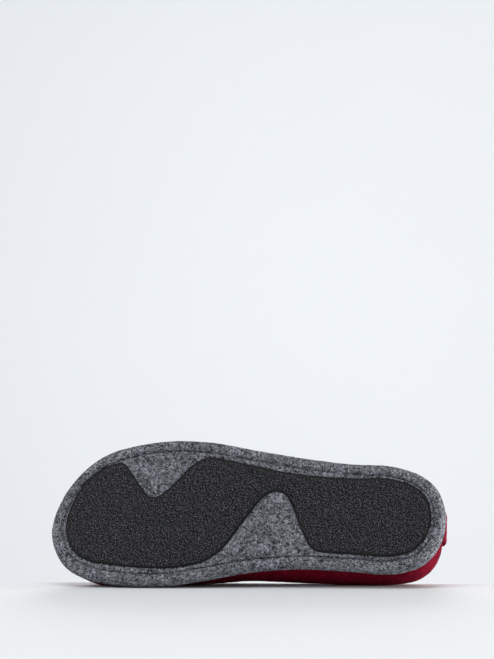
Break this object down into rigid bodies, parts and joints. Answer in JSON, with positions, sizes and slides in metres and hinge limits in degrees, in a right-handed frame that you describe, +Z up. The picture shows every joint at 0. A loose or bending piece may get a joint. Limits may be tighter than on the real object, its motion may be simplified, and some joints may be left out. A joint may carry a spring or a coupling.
{
  "type": "house slipper",
  "caption": "Left felt house slipper with closed heel and toe, moulded grey felt sole and a black rubber tread, lying on its medial side.",
  "frame": {"origin": "on the floor, under the middle of the lying slipper's box", "axes": "+X along the foot towards the heel, +Y from the sole towards the collar, +Z up, towards the lateral side"},
  "size_m": [0.2628, 0.0776, 0.0961],
  "materials": {
    "black_rubber": "matte",
    "grey_felt": "matte",
    "footbed_felt": "matte",
    "red_felt": "matte",
    "tab_felt": "matte"
  },
  "bodies": {
    "root": {"tread": "black_rubber", "sole": "grey_felt", "insole": "footbed_felt", "upper": "red_felt", "heel_tab": "tab_felt"}
  },
  "joints": []
}
